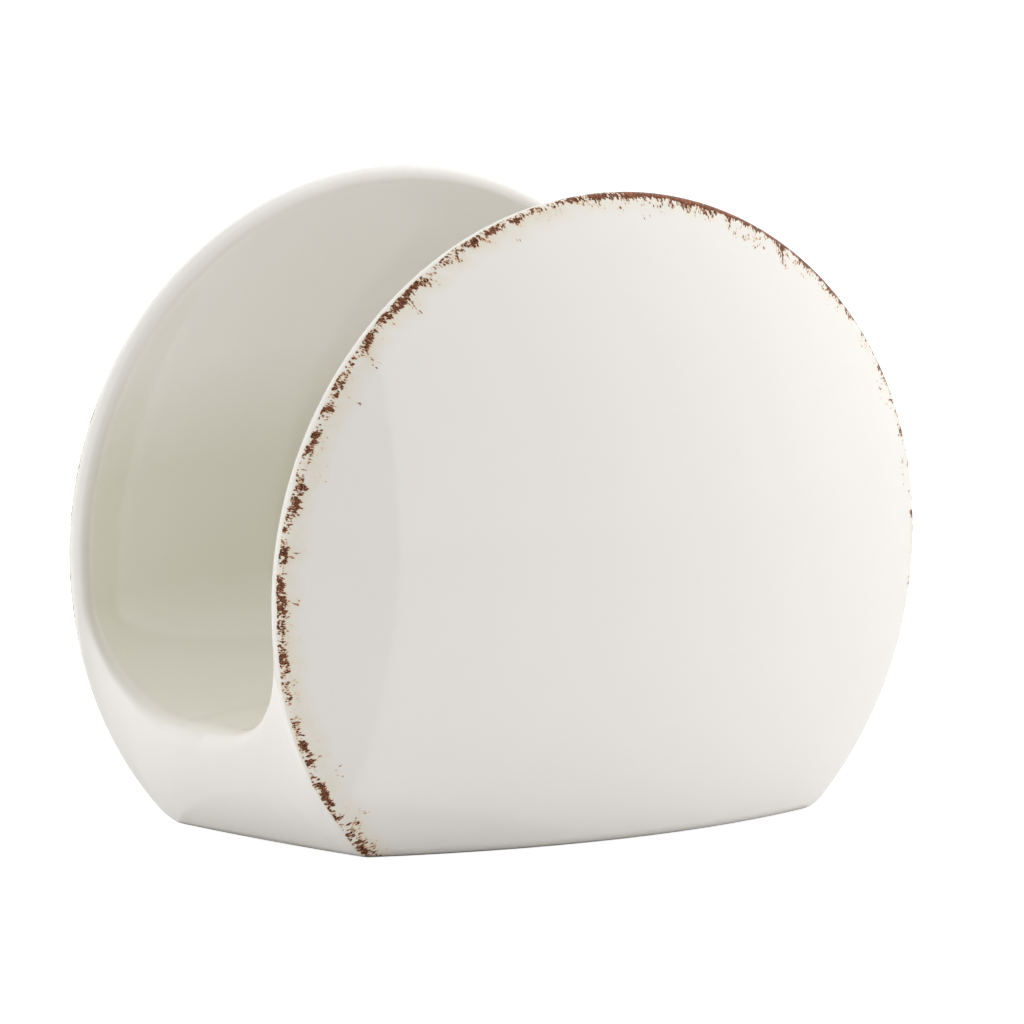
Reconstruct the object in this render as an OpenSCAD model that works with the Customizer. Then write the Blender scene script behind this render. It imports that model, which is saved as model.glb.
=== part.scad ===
// Glazed porcelain napkin holder: one casting, two domed oval plates that
// stand on a shared base and leave a U-shaped channel between them.
// The whole skin is one loft: stations run round the rim, and at each of them
// a row of points runs from the channel's middle, over the rim, to the outside.

/* [Plates] */
// Width across the widest part of the plates
width = 140.2; // [120:0.1:160]
// Height of the widest part above the table
widest_height = 46.3; // [42:0.1:50]
// Height of the crown above the widest part
crown_rise = 64.9; // [60:0.1:72]
// Depth over both plates where they are fullest
depth = 97; // [88:1:110]
// Height of the fullest part of the plates above the table
fullest_height = 50; // [46:0.5:54]
// Radius of each plate's curve from side to side
curve_across = 137; // [125:1:180]
// Radius of each plate's curve from foot to crown
curve_up = 114; // [104:1:160]
// Thickness of each plate
wall = 4; // [3.2:0.1:5]

/* [Channel] */
// Height of the channel's floor above the table
floor_height = 21; // [18:0.5:24]
// Radius between the channel's floor and its walls
channel_radius = 19; // [14:0.5:22]
// How far the channel's end lips are rounded over
lip_round = 6; // [4:0.1:7]
// How far the end walls bulge out at the table
end_bulge = 1; // [0.2:0.1:2]

/* [Rim] */
// Width of the flat that is left between the rim's two rounded edges
rim_flat = 0.4; // [0.2:0.1:1]

/* [Foot] */
// How far the foot's edge is rounded over
foot_round = 1.8; // [1.2:0.1:2.4]
// Width of the ring that the holder stands on
foot_ring = 4.6; // [4:0.1:6]
// Depth of the hollow under the base
hollow_depth = 14.5; // [8:0.5:15.5]
// How square the hollow's corners are, seen from below: 2 is an ellipse
hollow_squareness = 5; // [3:0.5:8]
// Radius between the hollow's wall and its ceiling
hollow_round = 5; // [2:0.5:6]

/* [Glaze] */
// Thickness of the fired glaze
glaze = 0.3; // [0.2:0.05:0.4]
// Height of the bare band that the glaze leaves at the foot
bare_height = 0.4; // [0.3:0.1:1.2]

/* [Hidden] */

// Overrun of the cuts
overrun = 1;

// Stations of a quarter of the rim: from the crown to the widest point and down to
// the channel's bend, then round the lip, whose outer ends lie on the plate's edge,
// the foot's rounding and the foot
widest_steps = 10;
side_steps = widest_steps + 1;
edge_steps = 4;
round_steps = 3;
foot_steps = 3;
lip_steps = edge_steps + round_steps + foot_steps;
quarter = side_steps + lip_steps;
around = 4 * quarter;

// Rows of a station: channel, inner rounding, rim or end wall, outer rounding, outside
channel_rows = 7;
land_rows = 4;
outside_rows = 7;
rows = channel_rows + 2 * round_steps + land_rows + outside_rows;

// Share of the lip's stations that lie in the channel's bends
bend_share = 0.8;
// Share of the crown's height to which the crown's stations run down, on the middle line
fan_share = 0.68;

height = widest_height + crown_rise;
bend_top = floor_height + channel_radius;
rim_round = (wall - rim_flat) / 2;

// Rings and points of the hollow under the base
hollow_steps = 4;
hollow_points = 48;

function mix(a, b, t) = a + (b - a) * t;

// Oval outline of the plates, seen from the front. g is how deep below the
// glazed surface the shape lies.
function half_width(z, g) =
    (width / 2 - g) * sqrt(max(0, 1 - pow((z - widest_height) / (crown_rise - g), 2)));

// Angle at which the outline has height z
function outline_angle(z, g) = asin((z - widest_height) / (crown_rise - g));

function outline_height(angle, g) = widest_height + (crown_rise - g) * sin(angle);

// Outside of a plate: an arc of radius curve_up turned about an upright axis, so
// that its fullest line has the radius curve_across
function barrel(z, g) =
    curve_across - curve_up + sqrt(pow(curve_up - g, 2) - pow(z - fullest_height, 2));
function half_depth(x, z, g) =
    depth / 2 - curve_across + sqrt(pow(barrel(z, g), 2) - x * x);

// Inside of a plate, parallel to its outside
function channel_wall(x, z, g) = half_depth(x, z, wall - g);

// Point of the inside that lies square behind a point p of the outside
function behind(p, g) =
    let (
        z = fullest_height + (p[2] - fullest_height) * (curve_up - wall + g) / (curve_up - g),
        x = p[0] * barrel(z, wall - g) / barrel(p[2], g)
    )
    [x, channel_wall(x, z, g), z];

// The channel's bend, at the turn bend, and its flat floor, at the share flat
function bend_height(bend, g) = bend_top - (channel_radius + g) * sin(bend);
function bend_depth(x, bend, flat, g) =
    (channel_wall(x, bend_height(bend, g), g) - (channel_radius + g) * (1 - cos(bend)))
    * (1 - flat);

// End wall: the outline, with a slight bulge towards the table
function end_wall(y, z, g) =
    let (x = half_width(z, g), share = y / half_depth(x, z, g))
    x + end_bulge * (1 - share * share) * max(0, 1 - z / bend_top);

// Rounding between an outside face and the underside, from turn 0 on the face
function foot_edge(x, turn, g) =
    let (
        edge = half_depth(x, 0, g),
        face = half_depth(x, foot_round, g)
    )
    [
        x,
        edge + (face - edge) * (1 - sin(turn)) - foot_round * (1 - cos(turn)),
        foot_round * (1 - sin(turn))
    ];

function lip_share(i) = max(0, i - side_steps) / lip_steps;
function bend_at(i) = 90 * min(1, lip_share(i) / bend_share);
function flat_at(i) = max(0, lip_share(i) - bend_share) / (1 - bend_share);

// Height of station i on the plate's side
function side_height(i, g) =
    let (below = max(0, i - widest_steps) / (side_steps - widest_steps))
    outline_height(90 * max(0, 1 - i / widest_steps) + outline_angle(bend_top, g) * below, g);

// Height of station i on the plate's edge, below the channel's bend
function edge_height(i, g) =
    outline_height(mix(outline_angle(bend_top, g), outline_angle(foot_round, g),
        (i - side_steps) / edge_steps), g);

function foot_turn(i) = 90 * (i - side_steps - edge_steps) / round_steps;
function foot_share(i) = (i - side_steps - edge_steps - round_steps) / foot_steps;

// How far the channel's edge is drawn in from the outline in its bends, where the
// rim, which stands square to the plates, runs out into the end wall
function draw_in(i, g) =
    (half_width(bend_top, g) - behind(outer_edge(side_steps, g), g)[0]) * cos(bend_at(i));

// Where station i crosses the channel's edge
function inner_edge(i, g) =
    i <= side_steps ?
        behind(outer_edge(i, g), g)
    :
        let (
            z = bend_height(bend_at(i), g),
            x = half_width(z, g) - draw_in(i, g),
            y = bend_depth(x, bend_at(i), flat_at(i), g)
        )
        [end_wall(y, z, g) - draw_in(i, g), y, z];

// Where station i crosses the outer edge
function outer_edge(i, g) =
    i <= side_steps + edge_steps ?
        let (
            z = i <= side_steps ? side_height(i, g) : edge_height(i, g),
            x = half_width(z, g)
        )
        [x, half_depth(x, z, g), z]
    : i <= side_steps + edge_steps + round_steps ?
        let (z = foot_round * (1 - sin(foot_turn(i))))
        foot_edge(half_width(z, g), foot_turn(i), g)
    :
        let (y = (half_depth(half_width(0, g), 0, g) - foot_round) * (1 - foot_share(i)))
        [end_wall(y, 0, g), y, 0];

// From the channel's edge at w = 0 to its middle line at w = 1
function channel_path(i, w, g) =
    let (edge = inner_edge(i, g), x = edge[0] * (1 - w))
    i <= side_steps ?
        let (z = mix(edge[2], mix(height * fan_share, bend_top, i / side_steps), w))
        [x, channel_wall(x, z, g), z]
    :
        [x, bend_depth(x, bend_at(i), flat_at(i), g), edge[2]];

// From the outer edge at w = 0 to the middle line of the face or underside at w = 1
function outside_path(i, w, g) =
    let (edge = outer_edge(i, g), x = edge[0] * (1 - w))
    i <= side_steps + edge_steps ?
        let (
            share = i / (side_steps + edge_steps),
            z = mix(edge[2], mix(height * fan_share, foot_round, share), w)
        )
        [x, half_depth(x, z, g), z]
    : i <= side_steps + edge_steps + round_steps ?
        foot_edge(x, foot_turn(i), g)
    :
        let (middle = (half_depth(0, 0, g) - foot_round) * (1 - foot_share(i)))
        [x, mix(edge[1], middle, w), 0];

// Across the rim or the end wall, from the channel's edge to the outer edge
function land_path(i, v, g) =
    let (
        edge = mix(inner_edge(i, g), outer_edge(i, g), v),
        wall_x = end_wall(edge[1], edge[2], g) - draw_in(i, g) * (1 - v)
    )
    [i <= side_steps ? edge[0] : wall_x, edge[1], edge[2]];

// Rounds an edge off from one neighbouring surface to the other
function rounding(edge, from, to) = [
    for (step = [1:round_steps])
        let (turn = 90 * step / round_steps)
        edge + (from - edge) * (1 - sin(turn)) + (to - edge) * (1 - cos(turn))
];

// All points of station i, from the channel's middle line to the outside's
function station(i, g) =
    let (
        inner = inner_edge(i, g),
        outer = outer_edge(i, g),
        lip = lip_share(i),
        channel_start = (mix(rim_round, lip_round, lip) - g)
            / norm(channel_path(i, 1, g) - inner),
        land_start = (mix(rim_round, lip_round, lip) - g) / norm(outer - inner),
        land_end = 1 - (mix(rim_round, foot_round, lip) - g) / norm(outer - inner),
        outside_start = (mix(rim_round, foot_round, lip) - g)
            / norm(outside_path(i, 1, g) - outer)
    )
    concat(
        [for (j = [0:channel_rows]) channel_path(i, mix(1, channel_start, j / channel_rows), g)],
        rounding(inner, channel_path(i, channel_start, g), land_path(i, land_start, g)),
        [for (j = [1:land_rows]) land_path(i, mix(land_start, land_end, j / land_rows), g)],
        rounding(outer, land_path(i, land_end, g), outside_path(i, outside_start, g)),
        [for (j = [1:outside_rows]) outside_path(i, mix(outside_start, 1, j / outside_rows), g)]
    );

// Station of the first quarter that station i mirrors, and the sides it lies on
function mirrored(i) =
    i <= quarter ? i
    : i <= 2 * quarter ? 2 * quarter - i
    : i <= 3 * quarter ? i - 2 * quarter
    : around - i;
function side_x(i) = i <= 2 * quarter ? -1 : 1;
function side_y(i) = i <= quarter || i > 3 * quarter ? -1 : 1;

// The two middle lines are shared by the left and the right stations
function point_index(i, j) =
    j == 0 || j == rows ?
        (j == 0 ? 0 : around * rows) + (i <= 2 * quarter ? i : around - i)
    :
        around * j + i;

// The solid holder, with no hollow, at the depth g below the glazed surface
module form(g) {
    first_quarter = [for (i = [0:quarter]) station(i, g)];
    points = [
        for (j = [0:rows])
            for (i = [0:around - 1])
                let (p = first_quarter[mirrored(i)][j])
                [side_x(i) * p[0], side_y(i) * p[1], p[2]]
    ];
    faces = [
        for (j = [0:rows - 1])
            for (i = [0:around - 1])
                let (
                    next = (i + 1) % around,
                    a = point_index(i, j),
                    b = point_index(next, j),
                    c = point_index(next, j + 1),
                    d = point_index(i, j + 1),
                    leaves_crown = floor(i / quarter) % 2 == 0,
                    inside = j < rows / 2
                )
                each leaves_crown == inside ? [[a, c, b], [a, d, c]] : [[a, d, b], [b, d, c]]
    ];
    polyhedron(points, faces);
}

// Rounds a circle's cosine or sine towards a square's
function squared(c) = sign(c) * pow(abs(c), 2 / hollow_squareness);

// The hollow under the base, grown by g: rings that follow the foot's outline,
// drawn in towards the ceiling
module hollow(g) {
    levels = concat(
        [[-overrun, 0]],
        [
            for (step = [0:hollow_steps])
                let (turn = 90 * step / hollow_steps)
                [hollow_depth + g - hollow_round * (1 - sin(turn)), hollow_round * (1 - cos(turn))]
        ]
    );
    points = [
        for (level = levels)
            for (k = [0:hollow_points - 1])
                let (
                    inset = foot_ring - g + level[1],
                    turn = 360 * k / hollow_points,
                    x = (half_width(0, 0) - inset) * squared(cos(turn))
                )
                [x, (half_depth(x, 0, 0) - inset) * squared(sin(turn)), level[0]]
    ];
    top = len(levels) - 1;
    faces = [
        [for (k = [0:hollow_points - 1]) k],
        [for (k = [hollow_points - 1:-1:0]) top * hollow_points + k],
        for (level = [0:top - 1])
            for (k = [0:hollow_points - 1])
                let (
                    next = (k + 1) % hollow_points,
                    a = level * hollow_points + k,
                    b = level * hollow_points + next
                )
                each [[a, b + hollow_points, b], [a, a + hollow_points, b + hollow_points]]
    ];
    polyhedron(points, faces);
}

module holder(g) {
    difference() {
        form(g);
        hollow(g);
    }
}

// The fired body, bare where it stands on the table
module porcelain_body() {
    color("antiquewhite") holder(glaze);
}

// The fired glaze, all over the body down to the bare band of the foot
module glaze_coat() {
    color("ivory")
        difference() {
            holder(0);
            holder(glaze);
            translate([-width, -depth, -overrun]) cube([2 * width, 2 * depth, overrun + bare_height]);
        }
}

porcelain_body();
glaze_coat();
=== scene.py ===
"""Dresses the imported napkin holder: its ivory glaze, bare foot and brushed brown edges, on a white table
under soft lamps."""

import math

import bmesh
import bpy
import numpy as np
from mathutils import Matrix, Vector


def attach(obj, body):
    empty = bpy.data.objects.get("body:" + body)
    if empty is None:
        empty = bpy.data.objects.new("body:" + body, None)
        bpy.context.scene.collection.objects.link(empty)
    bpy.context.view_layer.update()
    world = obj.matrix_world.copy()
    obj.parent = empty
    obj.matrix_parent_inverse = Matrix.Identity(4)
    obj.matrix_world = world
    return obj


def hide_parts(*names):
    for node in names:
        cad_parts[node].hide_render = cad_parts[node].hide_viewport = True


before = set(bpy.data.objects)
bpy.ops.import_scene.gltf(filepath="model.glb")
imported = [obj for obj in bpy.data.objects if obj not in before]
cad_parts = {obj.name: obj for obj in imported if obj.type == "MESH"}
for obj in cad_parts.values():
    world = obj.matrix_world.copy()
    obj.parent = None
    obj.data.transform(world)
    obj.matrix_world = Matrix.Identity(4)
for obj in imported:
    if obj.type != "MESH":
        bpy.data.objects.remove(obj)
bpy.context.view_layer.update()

bl_info = {
    "name": "Napkin Holder",
    "version": (1, 0, 0),
    "blender": (4, 5, 0),
    "location": "View3D > Sidebar > Napkin Holder",
    "description": "Glazed porcelain napkin holder with brushed brown edges",
    "category": "Object",
}

MM = 0.001
MERGE = 0.001 * MM
NEARLY_ZERO = 1e-6
BODY = "root"

# The UV map that follows a plate's edge, the depth it gives where no edge is near, and the attribute that
# mixes in the channel's colour, which is partly the greener tint of thick glaze and partly painted shade
# where less light gets in: from 0 to 1, by height in millimetres.
EDGE_MAP = "edge"
FAR_FROM_EDGE = 50 * MM
POOLING_AND_SHADE = "pooling"
POOLED_AND_SHADE_AT = ((21, 0.4), (40, 1.0), (60, 0.85), (80, 0.1), (111, 0.0))


def length(name, millimetres, description):
    """A length property: its default is given in millimetres and kept in metres."""
    return bpy.props.FloatProperty(
        name=name, description=description, default=millimetres * MM,
        subtype="DISTANCE", unit="LENGTH", precision=5,
    )


def rgb(value):
    """Linear colour of an sRGB hex value such as "#EBE7DE"."""
    shares = [int(value[i:i + 2], 16) / 255 for i in (1, 3, 5)]
    return tuple(s / 12.92 if s <= 0.04045 else ((s + 0.055) / 1.055) ** 2.4 for s in shares)


def colour(name, value, description):
    """A colour property, given as an sRGB hex value."""
    return bpy.props.FloatVectorProperty(
        name=name, description=description, default=rgb(value),
        subtype="COLOR", size=3, min=0, max=1,
    )


class HolderShape(bpy.types.PropertyGroup):
    """Sizes of the holder, as the CAD model has them."""

    width: length("Width", 140.2, "Width across the widest part of the plates")
    widest_height: length("Widest height", 46.3, "Height of the widest part above the table")
    crown_rise: length("Crown rise", 64.9, "Height of the crown above the widest part")
    depth: length("Depth", 97, "Depth over both plates where they are fullest")
    fullest_height: length("Fullest height", 50, "Height of the fullest part of the plates")
    curve_across: length("Curve across", 137, "Radius of the plates from side to side")
    curve_up: length("Curve up", 114, "Radius of the plates from foot to crown")
    wall: length("Wall", 4, "Thickness of each plate")
    floor_height: length("Floor height", 21, "Height of the channel's floor above the table")
    channel_radius: length("Channel radius", 19, "Radius between the channel's floor and walls")
    lip_round: length("Lip round", 6, "How far the channel's end lips are rounded over")
    end_bulge: length("End bulge", 1, "How far the end walls bulge out at the table")
    rim_flat: length("Rim flat", 0.4, "Width of the flat between the rim's two rounded edges")
    foot_round: length("Foot round", 1.8, "How far the foot's edge is rounded over")
    foot_ring: length("Foot ring", 4.6, "Width of the ring that the holder stands on")
    hollow_depth: length("Hollow depth", 14.5, "Depth of the hollow under the base")
    hollow_round: length("Hollow round", 5, "Radius between the hollow's wall and ceiling")
    hollow_squareness: bpy.props.FloatProperty(
        name="Hollow squareness", description="How square the hollow's corners are", default=5, min=2,
    )
    glaze: length("Glaze", 0.3, "Thickness of the fired glaze")
    bare_height: length("Bare height", 0.4, "Height of the bare band at the foot")
    fineness: bpy.props.IntProperty(
        name="Fineness", description="Grid cells for each cell of the CAD model", default=5, min=1,
    )


class HolderFinish(bpy.types.PropertyGroup):
    """Colours of the holder."""

    glaze: colour("Glaze", "#E7E4DF", "Ivory of the glazed faces")
    # The channel's colour: partly the greener tint of thick glaze and partly painted shade, darker where less
    # light gets in.
    pooled_glaze_and_shade: colour("Pooled glaze", "#CFCDBD", "Glaze where it lies thicker, in the channel")
    halo: colour("Stain halo", "#DBD1AF", "Cream that bleeds far out of the stain")
    amber: colour("Stain fringe", "#DBB083", "Amber fringe of each speck")
    rust: colour("Stain rust", "#94593A", "Thin iron stain")
    bark: colour("Stain brown", "#412316", "Thick iron stain")
    clay: colour("Bare porcelain", "#D8CFBE", "Unglazed foot")


class HolderStage(bpy.types.PropertyGroup):
    """Camera and floor."""

    azimuth: bpy.props.FloatProperty(
        name="Azimuth", description="Where the camera stands", default=math.radians(-38.213),
        subtype="ANGLE",
    )
    elevation: bpy.props.FloatProperty(
        name="Elevation", description="Height of the camera over the horizon",
        default=math.radians(6.924), subtype="ANGLE",
    )
    distance: length("Distance", 2519.4, "Camera's distance from the holder's middle")
    aim_height: length("Aim height", 55, "Height of the point that the camera circles")
    lens: bpy.props.FloatProperty(
        name="Lens", description="Focal length", default=514.8, unit="CAMERA",
    )
    aim_right: length("Aim right", 3.05, "How far the camera is moved to its right")
    aim_down: length("Aim down", 2.11, "How far the camera is moved down")
    floor_reach: length("Floor reach", 4000, "Distance from the holder to the floor's edges")


def half_width(shape, z):
    """Oval outline: an ellipse of half-axes width / 2 and crown_rise."""
    up = (z - shape.widest_height) / shape.crown_rise
    return shape.width / 2 * np.sqrt(np.clip(1 - up ** 2, 0, 1))


def barrel(shape, z, inset=0):
    """Radius of a plate's outside about an upright axis: an arc of radius curve_up, out to curve_across. With
    an inset the arc is that much smaller."""
    up = z - shape.fullest_height
    return shape.curve_across - shape.curve_up + np.sqrt((shape.curve_up - inset) ** 2 - up ** 2)


def half_depth(shape, x, z, inset=0):
    """Outside of a plate: the barrel's circle at that height, placed so that the outsides are depth apart."""
    return shape.depth / 2 - shape.curve_across + np.sqrt(barrel(shape, z, inset) ** 2 - x ** 2)


def channel_wall(shape, x, z):
    """Inside of a plate, parallel to its outside: the barrel with an inset of the wall."""
    return half_depth(shape, x, z, shape.wall)


def behind(shape, x, z):
    """Point of the inside that lies square behind a point of the outside, on the same radius of the arc."""
    deep = shape.fullest_height + (z - shape.fullest_height) * (shape.curve_up - shape.wall) / shape.curve_up
    across = x * barrel(shape, deep, shape.wall) / barrel(shape, z)
    return stack(across, channel_wall(shape, across, deep), deep)


def end_wall(shape, y, z):
    """End wall: the outline, with a slight parabolic bulge that fades out at the channel's bend."""
    x = half_width(shape, z)
    share = y / half_depth(shape, x, z)
    below = np.clip(1 - z / (shape.floor_height + shape.channel_radius), 0, 1)
    return x + shape.end_bulge * (1 - share ** 2) * below


def blend(a, b, t):
    """Straight line from a at t = 0 to b at t = 1."""
    return a + (b - a) * t


def stack(x, y, z):
    """Points from arrays of coordinates that broadcast together."""
    return np.stack(np.broadcast_arrays(x, y, z), -1)


def distance(a, b):
    """Straight distance between points."""
    return np.linalg.norm(a - b, axis=-1)


class Loft:
    """The holder's skin as a grid: stations round a quarter of the rim, and rows from the channel's middle
    line, over the rim, to the outside's middle line. It is the CAD model's loft with finer steps."""

    # The CAD model's cells: stations down the side, along the low edge, round the foot and under it, and
    # rows in the channel, across the rim and over the outside. Each rounded edge has ROUND rows too.
    SIDE, EDGE, ROUND, FOOT = 11, 4, 3, 3
    CHANNEL_ROWS, LAND_ROWS, OUTSIDE_ROWS = 7, 4, 7
    # The share of the low stations that lie in the channel's bend, and where the crown's rows end on the
    # middle line, as a share of the holder's height.
    BEND_SHARE = 0.8
    FAN_SHARE = 0.68

    def __init__(self, shape):
        self.shape = shape
        side, edge, turn, foot = (n * shape.fineness for n in (self.SIDE, self.EDGE, self.ROUND, self.FOOT))
        i = np.arange(side + edge + turn + foot + 1)[:, None]
        self.quarter = len(i) - 1
        self.on_side = i <= side
        self.on_face = i <= side + edge
        self.on_round = (i > side + edge) & (i <= side + edge + turn)
        self.side_share = np.clip(i / side, 0, 1)
        self.edge_share = np.clip((i - side) / edge, 0, 1)
        self.face_share = np.clip(i / (side + edge), 0, 1)
        self.turn = np.radians(90) * np.clip((i - side - edge) / turn, 0, 1)
        self.foot_share = np.clip((i - side - edge - turn) / foot, 0, 1)
        self.lip_share = np.clip((i - side) / (edge + turn + foot), 0, 1)
        self.bend = np.radians(90) * np.clip(self.lip_share / self.BEND_SHARE, 0, 1)
        self.flat = np.clip((self.lip_share - self.BEND_SHARE) / (1 - self.BEND_SHARE), 0, 1)
        self.bend_top = shape.floor_height + shape.channel_radius
        self.fan_height = (shape.widest_height + shape.crown_rise) * self.FAN_SHARE
        self.rim_round = (shape.wall - shape.rim_flat) / 2
        self.outer = self.outer_edge()
        rim = behind(shape, self.outer[..., 0], self.outer[..., 2])
        # The rim's inner edge ends this far inside the outline, and the bend takes that up.
        last = half_width(shape, self.bend_top) - rim[side, 0, 0]
        self.draw_in = np.where(self.on_side, 0, last * np.cos(self.bend))
        self.inner = np.where(self.on_side[..., None], rim, self.inner_edge())

    def height_at(self, angle):
        """Height of the oval at an angle from its middle."""
        return self.shape.widest_height + self.shape.crown_rise * np.sin(angle)

    def angle_at(self, z):
        """Angle from the oval's middle at which it has that height."""
        return math.asin((z - self.shape.widest_height) / self.shape.crown_rise)

    def choose(self, face, rounded, under):
        """Points of the stations on the outside face, round the foot's edge and on the underside."""
        low = np.where(self.on_round[..., None], rounded, under)
        return np.where(self.on_face[..., None], face, low)

    def foot_edge(self, x):
        """Quarter of an ellipse between an outside face and the underside."""
        shape = self.shape
        edge, face = half_depth(shape, x, 0), half_depth(shape, x, shape.foot_round)
        y = edge + (face - edge) * (1 - np.sin(self.turn)) - shape.foot_round * (1 - np.cos(self.turn))
        return stack(x, y, shape.foot_round * (1 - np.sin(self.turn)))

    def bend_depth(self, x):
        """Half of the channel's width: the wall's depth at that height, less what a quarter circle takes off
        in the bend, and then evenly down to nothing over the flat floor."""
        radius = self.shape.channel_radius
        height = self.bend_top - radius * np.sin(self.bend)
        wall = channel_wall(self.shape, x, height)
        return (wall - radius * (1 - np.cos(self.bend))) * (1 - self.flat)

    def inner_edge(self):
        """Where the stations in the bends cross the channel's edge: on the end wall, down the quarter circle,
        drawn in where the rim runs out."""
        shape = self.shape
        z = self.bend_top - shape.channel_radius * np.sin(self.bend)
        y = self.bend_depth(half_width(shape, z) - self.draw_in)
        return stack(end_wall(shape, y, z) - self.draw_in, y, z)

    def outer_edge(self):
        """Where each station crosses the outer edge: by even angles down the oval, round the foot's edge, and
        evenly along the end wall's foot to its middle."""
        shape = self.shape
        top, bend, foot = math.pi / 2, self.angle_at(self.bend_top), self.angle_at(shape.foot_round)
        low = blend(bend, foot, self.edge_share)
        angle = np.where(self.on_side, blend(top, bend, self.side_share), low)
        z = self.height_at(angle)
        x = half_width(shape, z)
        face = stack(x, half_depth(shape, x, z), z)
        rounded = self.foot_edge(half_width(shape, shape.foot_round * (1 - np.sin(self.turn))))
        y = (half_depth(shape, half_width(shape, 0), 0) - shape.foot_round) * (1 - self.foot_share)
        under = stack(end_wall(shape, y, 0), y, 0)
        return self.choose(face, rounded, under)

    def channel_path(self, w):
        """Points from the channel's edge at w = 0 to its middle line at w = 1."""
        edge_x, edge_z = self.inner[..., 0], self.inner[..., 2]
        x = edge_x * (1 - w)
        side_z = blend(edge_z, blend(self.fan_height, self.bend_top, self.side_share), w)
        z = np.where(self.on_side, side_z, edge_z)
        y = np.where(self.on_side, channel_wall(self.shape, x, z), self.bend_depth(x))
        return stack(x, y, z)

    def outside_path(self, w):
        """Points from the outer edge at w = 0 to the middle line of the face or underside at w = 1."""
        shape = self.shape
        edge_x, edge_y, edge_z = (self.outer[..., k] for k in range(3))
        x = edge_x * (1 - w)
        z = blend(edge_z, blend(self.fan_height, shape.foot_round, self.face_share), w)
        face = stack(x, half_depth(shape, x, z), z)
        middle = (half_depth(shape, 0, 0) - shape.foot_round) * (1 - self.foot_share)
        under = stack(x, blend(edge_y, middle, w), 0)
        return self.choose(face, self.foot_edge(x), under)

    def land_path(self, v):
        """Points from the channel's edge to the outer edge: straight across the rim, or on the end wall."""
        p = blend(self.inner, self.outer, v[..., None])
        wall = end_wall(self.shape, p[..., 1], p[..., 2]) - self.draw_in * (1 - v)
        x = np.where(self.on_side, p[..., 0], wall)
        return stack(x, p[..., 1], p[..., 2])

    def rounding(self, edge, start, end):
        """A quarter of an ellipse round an edge, from one neighbouring surface to the other."""
        steps = self.ROUND * self.shape.fineness
        turn = (np.radians(90) * np.arange(1, steps + 1) / steps)[None, :, None]
        return edge + (start - edge) * (1 - np.sin(turn)) + (end - edge) * (1 - np.cos(turn))

    def rows(self, count, first):
        """Even shares up to 1 of a stretch of rows, from its step of that number."""
        steps = count * self.shape.fineness
        return (np.arange(first, steps + 1) / steps)[None, :]

    def quarter_points(self):
        """All points of a quarter, stations by rows: the channel, its rounded edge, the rim or the end wall,
        the outer rounded edge and the outside. A rounding starts as far from its edge as it reaches."""
        one = np.ones((1, 1))
        inner_reach = blend(self.rim_round, self.shape.lip_round, self.lip_share)
        outer_reach = blend(self.rim_round, self.shape.foot_round, self.lip_share)
        across = distance(self.outer, self.inner)
        channel_start = inner_reach / distance(self.channel_path(one), self.inner)
        outside_start = outer_reach / distance(self.outside_path(one), self.outer)
        land_start, land_end = inner_reach / across, 1 - outer_reach / across
        return np.concatenate([
            self.channel_path(blend(one, channel_start, self.rows(self.CHANNEL_ROWS, 0))),
            self.rounding(self.inner, self.channel_path(channel_start), self.land_path(land_start)),
            self.land_path(blend(land_start, land_end, self.rows(self.LAND_ROWS, 1))),
            self.rounding(self.outer, self.land_path(land_end), self.outside_path(outside_start)),
            self.outside_path(blend(outside_start, one, self.rows(self.OUTSIDE_ROWS, 1))),
        ], axis=1)

    def mesh(self):
        """Vertices and quads of the whole skin, and the share of the channel's colour there, which is the
        tint of thick glaze together with
        painted shade: 0 outside, and by height in the channel. The stations go once round the holder, through
        the quarter and its three mirror images, and the left and right stations share the two middle lines."""
        quarter, n = self.quarter_points(), self.quarter
        i = np.arange(4 * n)
        source = n - np.abs(n - i % (2 * n))
        across, along = np.where(i <= 2 * n, -1, 1), np.where((i <= n) | (i > 3 * n), -1, 1)
        points = quarter[source] * stack(across, along, 1)[:, None, :]
        stations, rows = points.shape[:2]
        index = np.arange(stations * rows).reshape(stations, rows)
        middle = np.where(i <= 2 * n, i, 4 * n - i)
        index[:, 0], index[:, -1] = index[middle, 0], index[middle, -1]
        after = np.roll(index, -1, axis=0)
        quads = np.stack([index[:, :-1], after[:, :-1], after[:, 1:], index[:, 1:]], -1)
        # A quad starts at the corner that lets the diagonals of all quarters mirror each other.
        leaves_crown = (i // n % 2 == 0)[:, None]
        inside = (np.arange(rows - 1) < (rows - 1) / 2)[None, :]
        quads = np.where((leaves_crown == inside)[..., None], quads, np.roll(quads, 1, axis=-1))
        used, quads = np.unique(quads, return_inverse=True)
        # The channel's share of painted shade together with the tint of thick glaze: full inside the channel
        # and fading over its rounded edge, most at mid height, less at the floor and little near the crown.
        over_edge = (np.arange(rows) / self.shape.fineness - self.CHANNEL_ROWS) / self.ROUND
        heights, thickness = np.transpose(POOLED_AND_SHADE_AT)
        pooling = np.clip(1 - over_edge, 0, 1) * np.interp(points[..., 2], heights * MM, thickness)
        return points.reshape(-1, 3)[used], quads.reshape(-1, 4), pooling.reshape(-1)[used]


def squared(shape, c):
    """A cosine or sine raised to 2 / squareness, which turns an ellipse into one with squared corners."""
    return np.sign(c) * np.abs(c) ** (2 / shape.hollow_squareness)


def hollow_ring(shape, turn, inset, z):
    """A level of the hollow: the foot's outline drawn in by inset, with squared corners."""
    x = (half_width(shape, 0) - inset) * squared(shape, np.cos(turn))
    y = (half_depth(shape, x, 0) - inset) * squared(shape, np.sin(turn))
    return stack(x, y, z)


# Steps of the hollow's grid: round it, up its wall, round its bend and over its ceiling.
HOLLOW_AROUND, HOLLOW_RISE, HOLLOW_BEND, HOLLOW_CEILING = 192, 10, 16, 16


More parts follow.
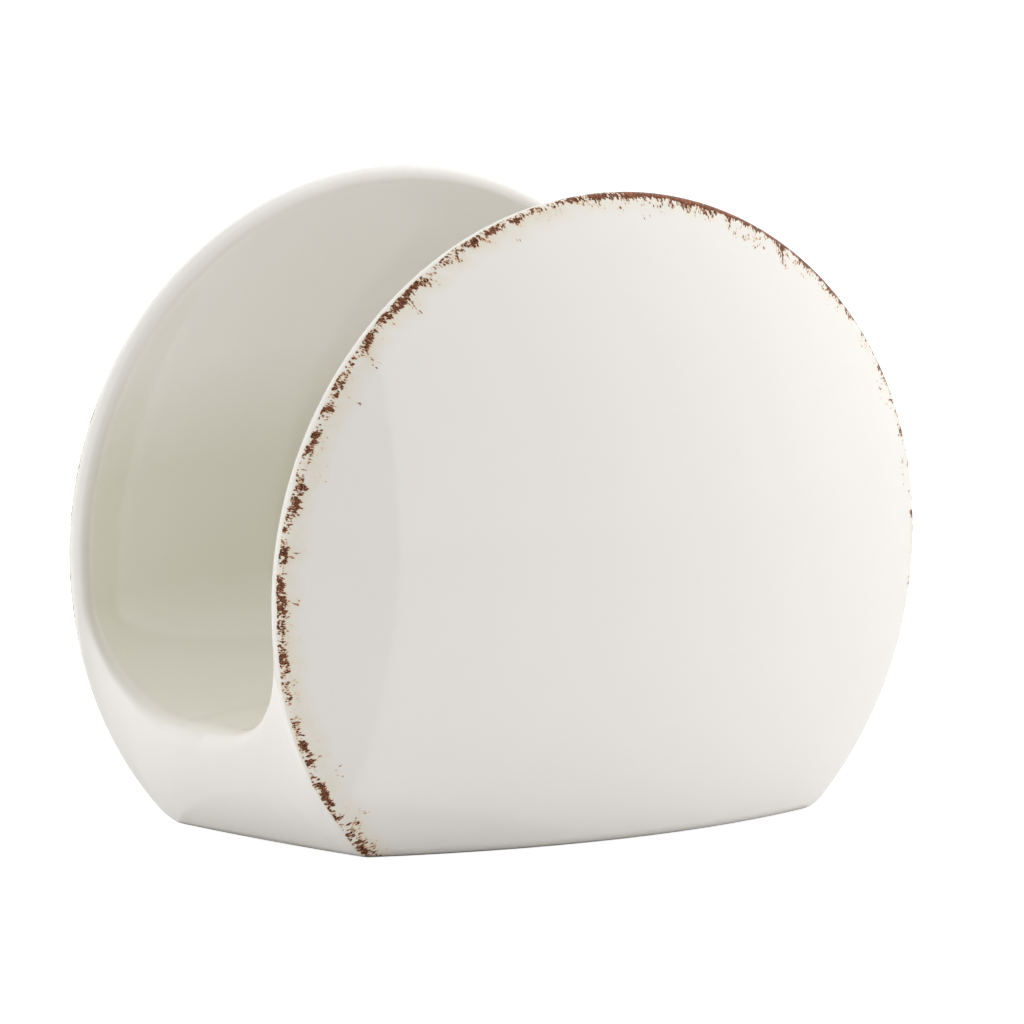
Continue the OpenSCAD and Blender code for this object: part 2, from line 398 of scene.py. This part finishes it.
def hollow_lining(shape):
    """Grid of the hollow's surface: up its wall, a quarter circle into the ceiling, and the ceiling's rings
    that shrink evenly to its middle. Its faces look down and inwards."""
    turn = np.linspace(0, 2 * math.pi, HOLLOW_AROUND, endpoint=False)[None, :]
    up = np.linspace(0, 1, HOLLOW_RISE, endpoint=False)[:, None]
    tip = np.linspace(0, math.pi / 2, HOLLOW_BEND)[:, None]
    bend_start = shape.hollow_depth - shape.hollow_round
    wall = hollow_ring(shape, turn, shape.foot_ring, blend(shape.bare_height, bend_start, up))
    corner = hollow_ring(
        shape, turn, shape.foot_ring + shape.hollow_round * (1 - np.cos(tip)),
        shape.hollow_depth - shape.hollow_round * (1 - np.sin(tip)),
    )
    shrink = np.linspace(1, 0, HOLLOW_CEILING + 1)[1:, None]
    top = corner[-1] * stack(shrink, shrink, 1)
    points = np.concatenate([wall, corner, top])
    index = np.arange(len(points) * HOLLOW_AROUND).reshape(-1, HOLLOW_AROUND)
    after = np.roll(index, -1, axis=1)
    quads = np.stack([index[:-1], index[1:], after[1:], after[:-1]], -1).reshape(-1, 4)
    return points.reshape(-1, 3), quads


def edge_place(shape, points):
    """Where points lie beside a plate's outer edge: the way along it from the crown, which is the angle on
    the oval times its mean radius, and the way in over the face, which is how far the point's ring falls
    short of the oval, divided by how fast it rises there. The way in is negative on the rim and the end
    wall, by the distance to the face, and far below zero in the channel."""
    x, y, z = points[:, 0], points[:, 1], points[:, 2]
    a, b = shape.width / 2, shape.crown_rise
    up = z - shape.widest_height
    ring = np.hypot(x / a, up / b)
    slope = np.hypot(x / a ** 2, up / b ** 2) / np.maximum(ring, NEARLY_ZERO)
    along = np.arctan2(x / a, up / b) * (a + b) / 2
    inwards = np.maximum(1 - ring, 0) / np.maximum(slope, NEARLY_ZERO)
    under = np.maximum(half_depth(shape, np.clip(x, -a, a), np.clip(z, 0, None)) - np.abs(y), 0)
    return along, np.where(under > shape.wall / 2, -FAR_FROM_EDGE, inwards - under)


def new_object(name, points, faces, material, pooling):
    """A smooth object at the origin, made from arrays of points and faces."""
    mesh = bpy.data.meshes.new(name)
    mesh.from_pydata(points.tolist(), [], faces.tolist())
    mesh.shade_smooth()
    mesh.materials.append(material)
    mesh.attributes.new(POOLING_AND_SHADE, "FLOAT", "POINT").data.foreach_set("value", pooling.astype(np.float32))
    made = bpy.data.objects.new(name, mesh)
    bpy.context.scene.collection.objects.link(made)
    return made


def close_mesh(mesh, floor=None):
    """Merges poles and, where a floor is given, cuts away what lies below that height."""
    work = bmesh.new()
    work.from_mesh(mesh)
    bmesh.ops.remove_doubles(work, verts=work.verts, dist=MERGE)
    if floor is not None:
        bmesh.ops.bisect_plane(
            work, geom=work.verts[:] + work.edges[:] + work.faces[:], dist=MERGE,
            plane_co=(0, 0, floor), plane_no=(0, 0, 1), clear_inner=True,
        )
    work.to_mesh(mesh)
    work.free()


def map_edge(mesh, shape, beside_edge):
    """Lays the edge's coordinates on a mesh as its UV map, or a place far from the edge."""
    points = np.empty(len(mesh.vertices) * 3, np.float32)
    mesh.vertices.foreach_get("co", points)
    along, inwards = edge_place(shape, points.reshape(-1, 3))
    if not beside_edge:
        inwards = np.full_like(inwards, FAR_FROM_EDGE)
    corners = np.empty(len(mesh.loops), np.int32)
    mesh.loops.foreach_get("vertex_index", corners)
    layer = mesh.uv_layers.new(name=EDGE_MAP)
    layer.data.foreach_set("uv", np.stack([along, inwards], -1)[corners].astype(np.float32).ravel())


# Stops that a new colour ramp already has.
RAMP_STARTS_WITH = 2


def add(tree, kind, inputs=None, stops=(), **settings):
    """Adds a node, sets its properties, and sets its inputs or links them to other nodes. A colour ramp also
    gets its stops, in rising order."""
    made = tree.nodes.new(kind)
    for name, value in settings.items():
        setattr(made, name, value)
    for key, value in (inputs or {}).items():
        if isinstance(value, bpy.types.Node):
            value = value.outputs[0]
        if isinstance(value, bpy.types.NodeSocket):
            tree.links.new(value, made.inputs[key])
        else:
            made.inputs[key].default_value = value
    for k, (place, shade) in enumerate(stops):
        ramp = made.color_ramp.elements
        stop = ramp[k] if k < RAMP_STARTS_WITH else ramp.new(place)
        stop.position, stop.color = place, shade
    return made


def new_material(name):
    """A material with an empty node tree and its surface output."""
    made = bpy.data.materials.new(name)
    made.use_nodes = True
    made.node_tree.nodes.clear()
    return made, made.node_tree, made.node_tree.nodes.new("ShaderNodeOutputMaterial")


def per_metre(size):
    """Noise scale that gives features of a size in millimetres."""
    return 1 / (size * MM)


def grey(value):
    """Opaque grey as a node's colour, from 0 to 1 in linear light."""
    return (value, value, value, 1)


# How the stain was brushed on, by degrees round the oval from its crown, leftwards first: how densely, how
# far in from the edge it starts, in millimetres, and how much of it bled out.
STAIN_DENSITY = (
    (-138, 1.05, 0.3, 0.9), (-116, 1.02, 0.3, 0.9), (-109, 0.75, 0.4, 0.9), (-98, 0.93, 0.5, 0.9),
    (-62, 0.93, 0.6, 1.0), (-45, 0.98, 0.6, 1.0), (-28, 1.0, 0.5, 1.0), (-12, 0.82, 0.4, 0.9),
    (-4, 1.05, 0.2, 0.8), (6, 1.36, 0.15, 0.7), (40, 1.4, 0.1, 0.45), (58, 1.24, 0.0, 0.35),
    (80, 1.14, 0.0, 0.3), (96, 0.9, 0.0, 0.2), (104, 0.35, 0.0, 0.1), (110, 0.0, 0.0, 0.0),
)
# The highest density and start in that table, which its ramp holds as shares from 0 to 1.
DENSITY_RANGE, START_RANGE = 1.5, 1.0
# How the stain fades over the face, by millimetres from where it starts, the cream that bleeds out of it,
# and the stretch in millimetres that both ramps cover.
STAIN_BAND = ((-0.7, 0.0), (-0.2, 0.95), (1.0, 1.0), (1.6, 0.66), (2.6, 0.48), (4.2, 0.38), (6.5, 0.0))
HALO_BAND = ((-0.9, 0.0), (-0.2, 0.55), (1.8, 0.55), (3.0, 0.3), (4.6, 0.0))
BAND_START, BAND_END = -1.5, 7.5
# The brush marks in millimetres, as they measure on the rim: the stretch over which the band wanders in
# and out and how far, the clusters, the strokes and the specks, which lean as the sponge was dragged.
MEANDER_SIZE, MEANDER_REACH = 7, 1.6
CLUSTER_SIZE, STROKE_SIZE, SPECK_SIZE = 3.2, 0.9, 0.36
LEAN, LEAN_STRETCH = math.radians(20), (1.3, 0.7, 1)
# What the band and the marks add to the amount of stain, which shows above 0 and is thick above 0.3. Each
# speck has a chance of its own, and thins out with the distance from its middle.
STAIN_THRESHOLD = -2.5
BAND_WEIGHT, CLUSTER_WEIGHT, STROKE_WEIGHT, CHANCE_WEIGHT, DISTANCE_WEIGHT = 1.5, 2.4, 1.2, -0.6, -0.45
# The stain's colour by its amount, and how much it covers: the fringe, thin stain, the dark rim of each mark
# and its mottled middle.
STAIN_SHADES = (
    (0.0, "amber", 0.0), (0.08, "amber", 0.8), (0.2, "rust", 0.9), (0.31, "bark", 1.0),
    (0.42, "bark", 1.0), (0.54, "rust", 1.0), (0.68, "bark", 1.0), (0.95, "rust", 1.0),
)
# The noise of the clusters at which the halo starts and is full.
HALO_THIN, HALO_FULL = 0.2, 0.6
# Specular level of the clean glaze and of thick stain.
GLAZE_GLOSS, STAIN_GLOSS = 0.5, 0.15
# The glaze's ripple and the bare foot's grain in millimetres. The real grain is too fine to show, so it is
# drawn ten times as coarse.
RIPPLE_SIZE, GRAIN_SIZE, BUMP_HEIGHT = 16, 0.6, 0.05


def band_stops(band):
    """Ramp stops of a band that is given in millimetres from the edge."""
    return tuple(((place - BAND_START) / (BAND_END - BAND_START), grey(share)) for place, share in band)


def brushed_stain(tree, shape, finish, spot, place):
    """Iron stain sponged on the glaze's edge before firing: specks and short strokes that gather in
    clusters, dark where it gathered thickly at their rims, rust-coloured inside and fringed with amber, in a
    halo of cream. Returns the stain's ramp and the halo's mask."""
    once_round = math.pi * (shape.width + 2 * shape.crown_rise) / 2
    round_share = add(
        tree, "ShaderNodeMath", {0: place.outputs["X"], 1: 1 / once_round, 2: 0.5}, operation="MULTIPLY_ADD",
    )
    brushing = add(tree, "ShaderNodeValToRGB", {0: round_share}, stops=tuple(
        (degrees / 360 + 0.5, (dense / DENSITY_RANGE, (start / START_RANGE + 1) / 2, bled, 1))
        for degrees, dense, start, bled in STAIN_DENSITY
    ))
    brushed = add(tree, "ShaderNodeSeparateColor", {0: brushing})
    density = add(tree, "ShaderNodeMath", {
        0: brushed.outputs["Red"], 1: DENSITY_RANGE,
    }, operation="MULTIPLY")
    meander = add(tree, "ShaderNodeTexNoise", {
        "Vector": spot, "Scale": per_metre(MEANDER_SIZE), "Detail": 1.0,
    })
    wander = add(tree, "ShaderNodeMath", {
        0: meander, 1: MEANDER_REACH, 2: START_RANGE - MEANDER_REACH / 2,
    }, operation="MULTIPLY_ADD")
    shift = add(tree, "ShaderNodeMath", {
        0: brushed.outputs["Green"], 1: -2 * START_RANGE, 2: wander,
    }, operation="MULTIPLY_ADD")
    depth = add(tree, "ShaderNodeMath", {
        0: place.outputs["Y"], 1: 1 / MM, 2: shift,
    }, operation="MULTIPLY_ADD")
    share = add(tree, "ShaderNodeMapRange", {"Value": depth, "From Min": BAND_START, "From Max": BAND_END})
    band = add(tree, "ShaderNodeValToRGB", {0: share}, stops=band_stops(STAIN_BAND))
    halo_band = add(tree, "ShaderNodeValToRGB", {0: share}, stops=band_stops(HALO_BAND))
    strength = add(tree, "ShaderNodeMath", {0: band, 1: density}, operation="MULTIPLY")
    clusters = add(tree, "ShaderNodeTexNoise", {
        "Vector": spot, "Scale": per_metre(CLUSTER_SIZE), "Detail": 2.0,
    })
    slanted = add(tree, "ShaderNodeMapping", {
        "Vector": spot, "Rotation": (0, 0, LEAN), "Scale": LEAN_STRETCH,
    })
    specks = add(tree, "ShaderNodeTexVoronoi", {"Vector": slanted, "Scale": per_metre(SPECK_SIZE)})
    chance = add(tree, "ShaderNodeSeparateXYZ", {0: specks.outputs["Color"]})
    strokes = add(tree, "ShaderNodeTexNoise", {
        "Vector": slanted, "Scale": per_metre(STROKE_SIZE), "Detail": 1.0,
    })
    amount = STAIN_THRESHOLD
    for source, weight in (
        (strength, BAND_WEIGHT), (clusters, CLUSTER_WEIGHT), (strokes, STROKE_WEIGHT),
        (chance.outputs["X"], CHANCE_WEIGHT), (specks.outputs["Distance"], DISTANCE_WEIGHT),
    ):
        amount = add(tree, "ShaderNodeMath", {0: source, 1: weight, 2: amount}, operation="MULTIPLY_ADD")
    stain = add(tree, "ShaderNodeValToRGB", {0: amount}, stops=tuple(
        (at, (*getattr(finish, shade), cover)) for at, shade, cover in STAIN_SHADES
    ))
    uneven = add(tree, "ShaderNodeMapRange", {
        "Value": clusters, "From Min": HALO_THIN, "From Max": HALO_FULL,
    })
    tinted = add(tree, "ShaderNodeMath", {0: halo_band, 1: brushed.outputs["Blue"]}, operation="MULTIPLY")
    halo = add(tree, "ShaderNodeMath", {0: tinted, 1: uneven}, operation="MULTIPLY")
    return stain, halo


def ivory_glaze(shape, finish):
    """Glazed porcelain, glost fired: a hard glass skin, so sharp reflections over an even off-white, which
    turns greener and darker in the channel: partly the tint of thick glaze and partly painted shade."""
    made, tree, out = new_material("ivory_glaze")
    edge = add(tree, "ShaderNodeUVMap", uv_map=EDGE_MAP)
    place = add(tree, "ShaderNodeSeparateXYZ", {0: edge})
    coordinates = add(tree, "ShaderNodeTexCoord")
    position = add(tree, "ShaderNodeSeparateXYZ", {0: coordinates.outputs["Object"]})
    # The back plate gets marks of its own, a metre away in the noise.
    at_back = add(tree, "ShaderNodeMath", {0: position.outputs["Y"], 1: 0.0}, operation="GREATER_THAN")
    spot = add(tree, "ShaderNodeCombineXYZ", {0: place.outputs["X"], 1: place.outputs["Y"], 2: at_back})
    # Painted shade in the channel, mixed in together with the greener tint of thick glaze.
    pooling = add(tree, "ShaderNodeAttribute", attribute_name=POOLING_AND_SHADE)
    body = add(tree, "ShaderNodeMix", {
        0: pooling.outputs["Fac"], "A": (*finish.glaze, 1), "B": (*finish.pooled_glaze_and_shade, 1),
    }, data_type="RGBA")
    stain, halo = brushed_stain(tree, shape, finish, spot, place)
    bled = add(tree, "ShaderNodeMix", {
        0: halo, "A": body.outputs["Result"], "B": (*finish.halo, 1),
    }, data_type="RGBA")
    surface = add(tree, "ShaderNodeMix", {
        0: stain.outputs["Alpha"], "A": bled.outputs["Result"], "B": stain.outputs["Color"],
    }, data_type="RGBA")
    ripple = add(tree, "ShaderNodeTexNoise", {
        "Vector": coordinates.outputs["Object"], "Scale": per_metre(RIPPLE_SIZE), "Detail": 2.0,
    })
    orange_peel = add(tree, "ShaderNodeBump", {"Height": ripple, "Distance": BUMP_HEIGHT * MM})
    dulled = add(tree, "ShaderNodeMapRange", {
        "Value": stain.outputs["Alpha"], "To Min": GLAZE_GLOSS, "To Max": STAIN_GLOSS,
    })
    shader = add(tree, "ShaderNodeBsdfPrincipled", {
        "Base Color": surface.outputs["Result"], "Roughness": 0.05, "IOR": 1.5, "Normal": orange_peel,
        "Specular IOR Level": dulled,
    })
    tree.links.new(shader.outputs[0], out.inputs["Surface"])
    return made


def bare_porcelain(finish):
    """Unglazed fired porcelain: matt, pale and faintly grainy."""
    made, tree, out = new_material("bare_porcelain")
    coordinates = add(tree, "ShaderNodeTexCoord")
    grain = add(tree, "ShaderNodeTexNoise", {
        "Vector": coordinates.outputs["Object"], "Scale": per_metre(GRAIN_SIZE), "Detail": 3.0,
    })
    shade = add(tree, "ShaderNodeMix", {
        0: grain, "A": (*finish.clay, 1), "B": (*finish.glaze, 1),
    }, data_type="RGBA")
    rough = add(tree, "ShaderNodeBump", {"Height": grain, "Distance": BUMP_HEIGHT * MM})
    shader = add(tree, "ShaderNodeBsdfPrincipled", {
        "Base Color": shade.outputs["Result"], "Roughness": 0.75, "IOR": 1.5, "Normal": rough,
    })
    tree.links.new(shader.outputs[0], out.inputs["Surface"])
    return made


class HOLDER_OT_glaze_coat(bpy.types.Operator):
    """Makes the glaze: a thin skin over the whole holder and in its hollow, down to the bare foot"""

    bl_idname = "holder.glaze_coat"
    bl_label = "Glaze coat"

    def execute(self, context):
        shape, finish = context.scene.holder_shape, context.scene.holder_finish
        material = ivory_glaze(shape, finish)
        points, quads, pooling = Loft(shape).mesh()
        coat = new_object("glaze_coat_skin", points, quads, material, pooling)
        close_mesh(coat.data, shape.bare_height)
        points, quads = hollow_lining(shape)
        lining = new_object("glaze_coat_lining", points, quads, material, np.zeros(len(points)))
        close_mesh(lining.data)
        map_edge(coat.data, shape, True)
        map_edge(lining.data, shape, False)
        for piece in (coat, lining):
            shell = piece.modifiers.new("Glaze thickness", "SOLIDIFY")
            shell.thickness, shell.offset = shape.glaze, -1
            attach(piece, BODY)
            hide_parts("glaze_coat")
        return {"FINISHED"}


class HOLDER_OT_porcelain_body(bpy.types.Operator):
    """Finishes the fired body, which shows at the foot"""

    bl_idname = "holder.porcelain_body"
    bl_label = "Porcelain body"

    def execute(self, context):
        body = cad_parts["porcelain_body"]
        body.data.materials.clear()
        body.data.materials.append(bare_porcelain(context.scene.holder_finish))
        return {"FINISHED"}


# The camera's sensor in millimetres, and how near and far it sees in metres.
SENSOR_WIDTH = 36
CLIP_START, CLIP_END = 0.1, 30
# The light tent's wall, which the glaze reflects: panels side by side from WALL_START degrees, each less
# bright than the last.
WALL_START, WALL_STEP, WALL_PANELS = -8, 11, 8
WALL_RADIANCE = 0.99
# Soft lamps behind the tent, which no reflection shows: name, azimuth and elevation in degrees, radiance.
FILLS = (
    ("Left fill", -100, 20, 1.2),
    ("Back left fill", -135, 25, 1.3),
    ("Right fill", 70, 15, 1.0),
    ("High fill", 90, 50, 2.3),
    ("Top fill", 0, 88, 0.6),
    ("Back right fill", 135, 30, 0.6),
)
# The size of those lamps, and the tent's, in metres.
FILL_SIZE = 1.2
TENT_RADIUS, TENT_HEIGHT = 1.2, 2.5
# How strong the light from everywhere else is.
SURROUNDING_LIGHT = 0.25
# The floor's white as the lamps and the glaze meet it, its roughness in the glaze's reflections, and the matt
# share and the glow that the camera sees.
FLOOR_WHITE, FLOOR_ROUGHNESS = 0.9, 0.05
FLOOR_MATT, FLOOR_GLOW = 0.4, 0.92


class HOLDER_OT_stage(bpy.types.Operator):
    """Makes the camera, the floor, the lamps and the surrounding light"""

    bl_idname = "holder.stage"
    bl_label = "Stage"

    def execute(self, context):
        stage = context.scene.holder_stage
        context.scene.camera = new_camera(stage)
        reach = stage.floor_reach
        mesh = bpy.data.meshes.new("floor")
        corners = [(-reach, -reach, 0), (reach, -reach, 0), (reach, reach, 0), (-reach, reach, 0)]
        mesh.from_pydata(corners, [], [(0, 1, 2, 3)])
        mesh.materials.append(studio_floor())
        floor = bpy.data.objects.new("floor", mesh)
        context.scene.collection.objects.link(floor)
        tent_wall(WALL_RADIANCE)
        for name, azimuth, elevation, radiance in FILLS:
            softbox(name, azimuth, elevation, FILL_SIZE, FILL_SIZE, radiance).visible_glossy = False
        context.scene.world = studio_world()
        return {"FINISHED"}


def towards(turn, rise):
    """Unit vector from the holder to an azimuth, which is 0 in front, and an elevation."""
    return Vector((math.sin(turn) * math.cos(rise), -math.cos(turn) * math.cos(rise), math.sin(rise)))


def look_back(name, data, place, direction):
    """A lamp or camera at a place, which looks against a direction."""
    made = bpy.data.objects.new(name, data)
    made.location = place
    made.rotation_mode = "QUATERNION"
    made.rotation_quaternion = direction.to_track_quat("Z", "Y")
    bpy.context.scene.collection.objects.link(made)
    return made


def new_camera(stage):
    """The camera in front of the holder, to its left, moved a little to its right and down."""
    data = bpy.data.cameras.new("Camera")
    data.lens, data.sensor_width = stage.lens, SENSOR_WIDTH
    data.clip_start, data.clip_end = CLIP_START, CLIP_END
    back = towards(stage.azimuth, stage.elevation)
    right = Vector((math.cos(stage.azimuth), math.sin(stage.azimuth), 0))
    up = back.cross(right)
    aim = Vector((0, 0, stage.aim_height)) + right * stage.aim_right - up * stage.aim_down
    return look_back("Camera", data, aim + back * stage.distance, back)


def studio_floor():
    """White acrylic table. The camera sees it glow white, with a matt share that keeps the holder's shadow,
    the glaze sees the tent's wall mirrored in it, and other light meets a matt white."""
    made, tree, out = new_material("studio_floor")
    ray = add(tree, "ShaderNodeLightPath")
    matt = add(tree, "ShaderNodeBsdfDiffuse", {"Color": grey(FLOOR_WHITE)})
    soft = add(tree, "ShaderNodeBsdfDiffuse", {"Color": grey(FLOOR_MATT)})
    glow = add(tree, "ShaderNodeEmission", {"Color": grey(1), "Strength": FLOOR_GLOW})
    lit = add(tree, "ShaderNodeAddShader", {0: soft, 1: glow})
    polished = add(tree, "ShaderNodeBsdfGlossy", {"Color": grey(FLOOR_WHITE), "Roughness": FLOOR_ROUGHNESS})
    reflected = add(tree, "ShaderNodeMixShader", {0: ray.outputs["Is Glossy Ray"], 1: matt, 2: polished})
    shown = add(tree, "ShaderNodeMixShader", {0: ray.outputs["Is Camera Ray"], 1: reflected, 2: lit})
    tree.links.new(shown.outputs[0], out.inputs["Surface"])
    return made


def studio_world():
    """Even grey light, behind which the camera, reflections and glass see white."""
    made = bpy.data.worlds.new("Studio")
    made.use_nodes = True
    tree = made.node_tree
    tree.nodes.clear()
    out = tree.nodes.new("ShaderNodeOutputWorld")
    ray = add(tree, "ShaderNodeLightPath")
    seen = add(tree, "ShaderNodeMath", {
        0: ray.outputs["Is Camera Ray"], 1: ray.outputs["Is Glossy Ray"],
    }, operation="MAXIMUM")
    shows = add(tree, "ShaderNodeMath", {
        0: seen, 1: ray.outputs["Is Transmission Ray"],
    }, operation="MAXIMUM")
    soft = add(tree, "ShaderNodeBackground", {"Color": grey(SURROUNDING_LIGHT), "Strength": 1.0})
    white = add(tree, "ShaderNodeBackground", {"Color": grey(1), "Strength": 1.0})
    shown = add(tree, "ShaderNodeMixShader", {0: shows, 1: soft, 2: white})
    tree.links.new(shown.outputs[0], out.inputs["Surface"])
    return made


def tent_wall(radiance):
    """Upright panels edge to edge round the right of the holder, each a step darker than the last."""
    width = 2 * TENT_RADIUS * math.tan(math.radians(WALL_STEP / 2))
    for k in range(WALL_PANELS):
        azimuth, share = WALL_START + WALL_STEP * (k + 0.5), 1 - k / WALL_PANELS
        softbox(f"Tent wall {k + 1}", azimuth, 0, width, TENT_HEIGHT, radiance * share)


def softbox(name, azimuth, elevation, width, height, radiance):
    """A rectangular lamp that faces the middle of the holder's foot from an azimuth and an elevation in
    degrees. Its power is radiance times pi times its area."""
    data = bpy.data.lights.new(name, "AREA")
    data.shape, data.size, data.size_y = "RECTANGLE", width, height
    data.energy = radiance * math.pi * width * height
    out = towards(math.radians(azimuth), math.radians(elevation))
    lamp = look_back(name, data, out * TENT_RADIUS, out)
    lamp.visible_camera = False
    return lamp


class VIEW3D_PT_napkin_holder(bpy.types.Panel):
    """Lists the holder's sizes and colours and the steps that make it"""

    bl_label = "Napkin Holder"
    bl_space_type = "VIEW_3D"
    bl_region_type = "UI"
    bl_category = "Napkin Holder"

    def draw(self, context):
        for group in (context.scene.holder_shape, context.scene.holder_finish, context.scene.holder_stage):
            for name in group.__annotations__:
                self.layout.prop(group, name)
        for step in STEPS:
            self.layout.operator(step.bl_idname)


STEPS = (HOLDER_OT_glaze_coat, HOLDER_OT_porcelain_body, HOLDER_OT_stage)
GROUPS = {"holder_shape": HolderShape, "holder_finish": HolderFinish, "holder_stage": HolderStage}


def register():
    """Registers the property groups, operators and panel."""
    for name, group in GROUPS.items():
        bpy.utils.register_class(group)
        setattr(bpy.types.Scene, name, bpy.props.PointerProperty(type=group))
    for step in STEPS:
        bpy.utils.register_class(step)
    bpy.utils.register_class(VIEW3D_PT_napkin_holder)


def unregister():
    """Removes what register added."""
    bpy.utils.unregister_class(VIEW3D_PT_napkin_holder)
    for step in reversed(STEPS):
        bpy.utils.unregister_class(step)
    for name, group in GROUPS.items():
        delattr(bpy.types.Scene, name)
        bpy.utils.unregister_class(group)


def main():
    """Makes the scene."""
    register()
    bpy.context.scene.view_settings.view_transform = "Standard"
    bpy.ops.holder.glaze_coat()
    bpy.ops.holder.porcelain_body()
    bpy.ops.holder.stage()


if __name__ == "__main__":
    main()
